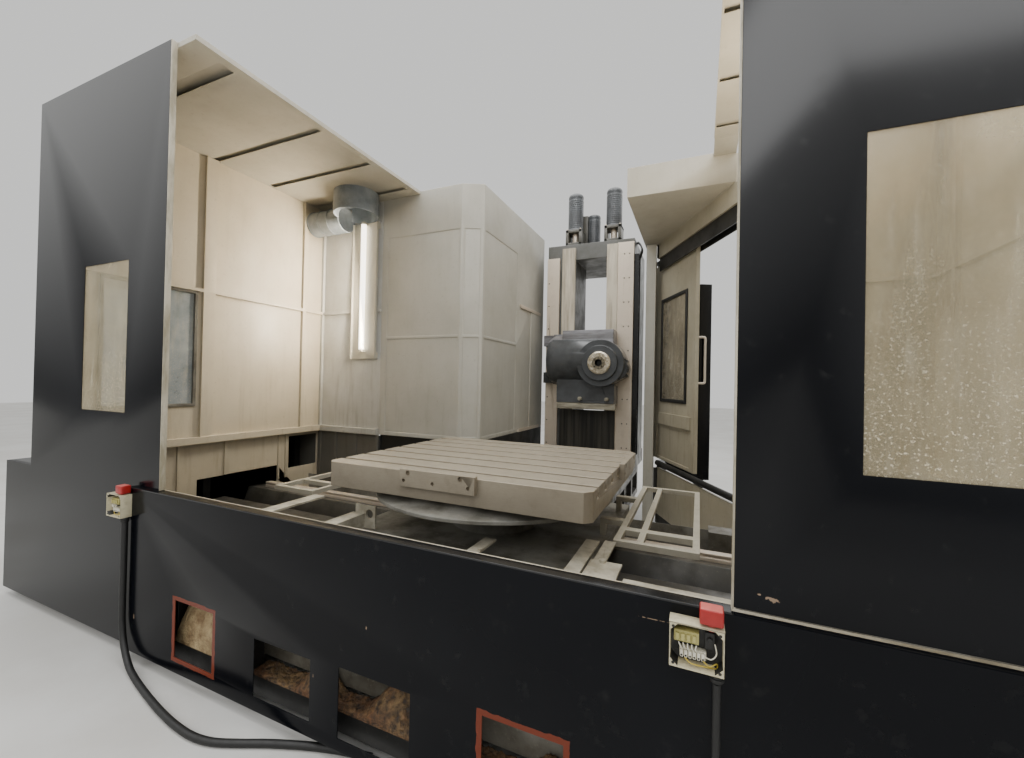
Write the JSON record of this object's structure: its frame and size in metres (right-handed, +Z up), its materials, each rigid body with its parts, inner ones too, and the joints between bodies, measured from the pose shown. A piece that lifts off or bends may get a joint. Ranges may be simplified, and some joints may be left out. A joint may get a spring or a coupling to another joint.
{
  "type": "cnc machining center",
  "caption": "Large horizontal machining center with an open-fronted cabin, a slotted rotary table on a cross bed, a travelling column with its spindle head, and a sliding side door.",
  "frame": {"origin": "on the floor, under the middle of the machine's box without the loose cable", "axes": "+X to the operator's right along the cross bed, +Y from the open front to the rear, +Z up"},
  "size_m": [6.2, 5.4786, 3.682],
  "materials": {
    "navy_paint": "gloss",
    "cream_paint": "satin",
    "dark_frame": "satin",
    "black_rubber": "matt",
    "pale_trim": "satin",
    "window_sheet": "scratched",
    "lamp_glass": "frosted",
    "ground_steel": "ground",
    "machine_grey": "painted, oily",
    "bare_bars": "worn",
    "black_paint": "satin",
    "cast_iron": "ground",
    "box_shell": "satin",
    "red_plastic": "satin"
  },
  "bodies": {
    "cabin": {"cabin_base": "dark_frame", "levelling_feet": "black_rubber", "left_front_panel": "navy_paint", "right_front_panel": "navy_paint", "low_front_panel": "navy_paint", "front_trim": "pale_trim", "front_windows": "window_sheet", "side_plinths": "navy_paint", "cabin_posts": "dark_frame", "left_outer_wall": "navy_paint", "right_outer_wall": "navy_paint", "left_inner_wall": "cream_paint", "left_lower_wall": "cream_paint", "side_window_frame": "dark_frame", "side_window_pane": "window_sheet", "right_inner_wall": "cream_paint", "left_roof": "cream_paint", "right_roof": "cream_paint", "rear_left_wall": "cream_paint", "rear_right_wall": "cream_paint", "lamp_fixture": "cream_paint", "lamp_tube": "lamp_glass", "mist_duct": "dark_frame", "tool_housing": "cream_paint", "hatch_rails": "ground_steel", "magazine_frame": "machine_grey", "rear_roof": "cream_paint", "door_frame": "cream_paint", "rear_post": "cream_paint", "door_rails": "dark_frame", "door_outer_cover": "navy_paint", "chip_troughs": "machine_grey", "support_arms": "bare_bars", "front_bed": "machine_grey", "rear_bed": "machine_grey", "guide_rails": "ground_steel", "drive_motors": "black_paint", "switch_boxes": "box_shell", "box_fittings": "black_rubber", "cabin_cable": "black_rubber"},
    "saddle": {"table_saddle": "machine_grey", "cover_frames": "bare_bars", "rotary_base": "machine_grey"},
    "table": {"table_plate": "cast_iron", "stop_plates": "cast_iron"},
    "column": {"column": "machine_grey", "column_guides": "ground_steel", "screw_covers": "ground_steel", "lift_motors": "black_paint", "cable_duct": "black_paint"},
    "head": {"spindle_head": "black_paint", "head_skirt": "black_paint"},
    "spindle": {"spindle_nose": "ground_steel"},
    "side_door": {"door_leaf": "cream_paint", "door_pane": "window_sheet", "door_handle": "ground_steel"},
    "tool_shutter": {"tool_hatch": "cream_paint"},
    "magazine": {"magazine_disc": "ground_steel"},
    "left_button": {"left_stop_button": "red_plastic"},
    "right_button": {"right_stop_button": "red_plastic"}
  },
  "joints": [
    {"name": "table_slide", "type": "slide", "parent": "cabin", "child": "saddle", "axis": [1, 0, 0], "range_m": [-0.9, 0.9]},
    {"name": "table_turn", "type": "hinge", "parent": "saddle", "child": "table", "pos_m": [0.114, -1.625, 0.94], "axis": [0, 0, 1], "continuous": true},
    {"name": "column_slide", "type": "slide", "parent": "cabin", "child": "column", "axis": [0, -1, 0], "range_m": [0, 1.05]},
    {"name": "head_lift", "type": "slide", "parent": "column", "child": "head", "axis": [0, 0, 1], "range_m": [-0.5, 0.75]},
    {"name": "spindle_spin", "type": "hinge", "parent": "head", "child": "spindle", "pos_m": [0.268, 0.365, 1.715], "axis": [0, 1, 0], "continuous": true},
    {"name": "side_door_slide", "type": "slide", "parent": "cabin", "child": "side_door", "axis": [0.4524, -0.8918, 0], "range_m": [0, 0.89]},
    {"name": "tool_shutter_slide", "type": "slide", "parent": "cabin", "child": "tool_shutter", "axis": [0, -1, 0], "range_m": [0, 0.29]},
    {"name": "magazine_turn", "type": "hinge", "parent": "cabin", "child": "magazine", "pos_m": [-1.072, 0.6, 1.9], "axis": [0, 1, 0], "continuous": true},
    {"name": "left_button_press", "type": "slide", "parent": "cabin", "child": "left_button", "axis": [0, 0, -1], "range_m": [0, 0.005], "stiffness_N_per_m": 3000, "springref_m": -0.001},
    {"name": "right_button_press", "type": "slide", "parent": "cabin", "child": "right_button", "axis": [0, 0, -1], "range_m": [0, 0.005], "stiffness_N_per_m": 3000, "springref_m": -0.001}
  ]
}
